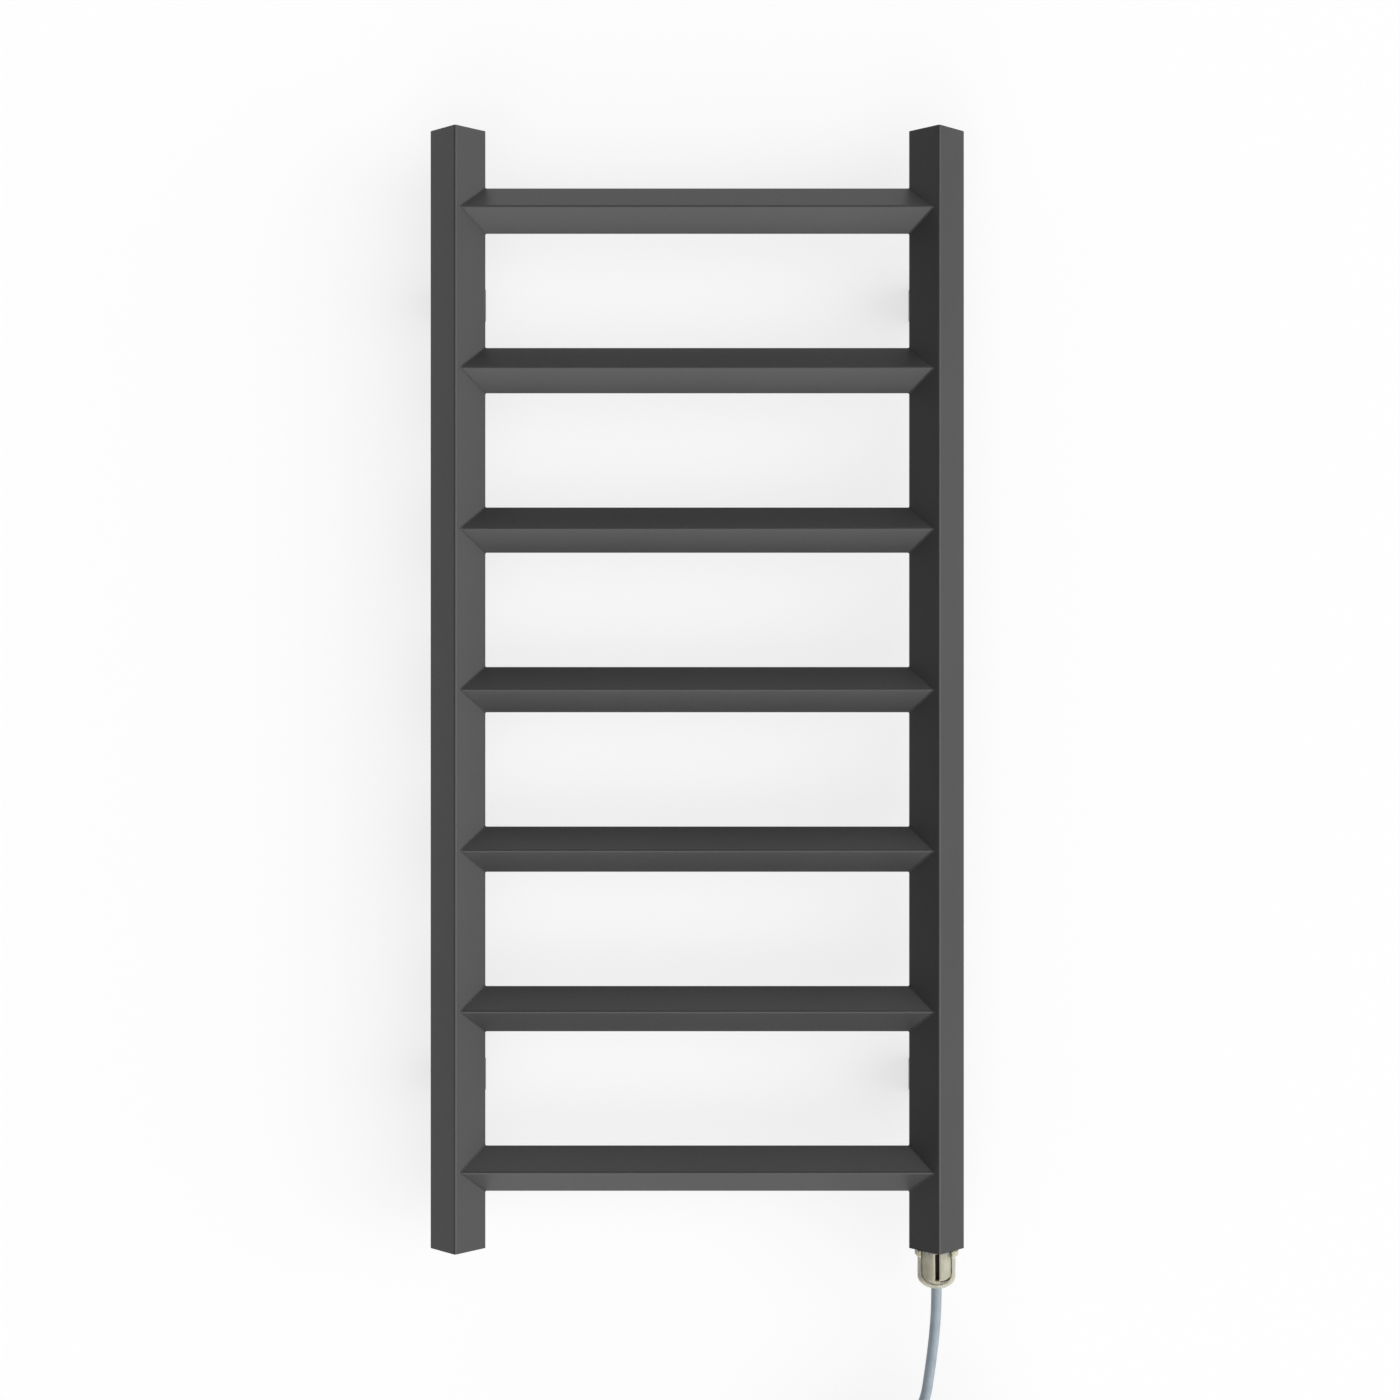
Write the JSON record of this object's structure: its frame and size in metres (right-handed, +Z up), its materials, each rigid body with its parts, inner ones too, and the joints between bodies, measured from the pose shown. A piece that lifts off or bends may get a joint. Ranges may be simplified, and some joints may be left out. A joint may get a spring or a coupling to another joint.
{
  "type": "towel warmer rack",
  "caption": "Wall-hung electric ladder towel warmer: square posts and bars turned edge-on, wall sleeves that slide on screwed bases, and a cabled heating head under one post.",
  "frame": {"origin": "middle of the four wall fixings, on the wall", "axes": "+X to the right as seen from the room, +Y into the wall, +Z up along the posts"},
  "size_m": [0.4367, 0.0985, 1.223],
  "materials": {
    "powder_coat": "satin",
    "base_coat": "satin",
    "screw_steel": "satin",
    "nickel": "satin",
    "rubber": "matte",
    "brass": "satin",
    "stainless": "satin",
    "head_nylon": "satin",
    "cord_sheath": "satin",
    "tie_nylon": "matte",
    "plug_plastic": "satin"
  },
  "bodies": {
    "wall_bases": {"wall_base_1": "base_coat", "wall_base_2": "base_coat", "wall_base_3": "base_coat", "wall_base_4": "base_coat"},
    "rack": {"post_left": "powder_coat", "post_right": "powder_coat", "bar_1": "powder_coat", "bar_2": "powder_coat", "bar_3": "powder_coat", "bar_4": "powder_coat", "bar_5": "powder_coat", "bar_6": "powder_coat", "bar_7": "powder_coat", "top_cap_left": "powder_coat", "top_cap_right": "powder_coat", "port_plate_left": "powder_coat", "port_plate_right": "powder_coat", "sleeve_1": "powder_coat", "sleeve_2": "powder_coat", "sleeve_3": "powder_coat", "sleeve_4": "powder_coat", "blanking_plug": "nickel", "blanking_seal": "rubber", "heater_fitting": "brass", "flange_rim": "head_nylon", "heater_gasket": "rubber", "heating_rod": "stainless", "sensor_tube": "stainless", "gland_cup": "head_nylon", "jaw_left": "head_nylon", "jaw_right": "head_nylon", "terminal_boot": "rubber", "cable_seal": "rubber", "power_cord": "cord_sheath", "cord_coil": "cord_sheath", "cord_tail": "cord_sheath", "cord_tie": "tie_nylon", "plug_grip": "plug_plastic", "plug_body": "plug_plastic", "plug_pins": "nickel", "earth_contacts": "nickel"},
    "lock_screw_1": {"lock_screw_1": "screw_steel"},
    "lock_screw_2": {"lock_screw_2": "screw_steel"},
    "lock_screw_3": {"lock_screw_3": "screw_steel"},
    "lock_screw_4": {"lock_screw_4": "screw_steel"}
  },
  "joints": [
    {"name": "depth_adjust", "type": "slide", "parent": "wall_bases", "child": "rack", "axis": [0, -1, 0], "range_m": [0, 0.012]},
    {"name": "lock_screw_1_turn", "type": "hinge", "parent": "rack", "child": "lock_screw_1", "pos_m": [-0.18, -0.02, 0.2861], "axis": [0, 0, -1], "range_deg": [0, 540]},
    {"name": "lock_screw_2_turn", "type": "hinge", "parent": "rack", "child": "lock_screw_2", "pos_m": [0.18, -0.02, 0.2861], "axis": [0, 0, -1], "range_deg": [0, 540]},
    {"name": "lock_screw_3_turn", "type": "hinge", "parent": "rack", "child": "lock_screw_3", "pos_m": [-0.18, -0.02, -0.3139], "axis": [0, 0, -1], "range_deg": [0, 540]},
    {"name": "lock_screw_4_turn", "type": "hinge", "parent": "rack", "child": "lock_screw_4", "pos_m": [0.18, -0.02, -0.3139], "axis": [0, 0, -1], "range_deg": [0, 540]}
  ]
}
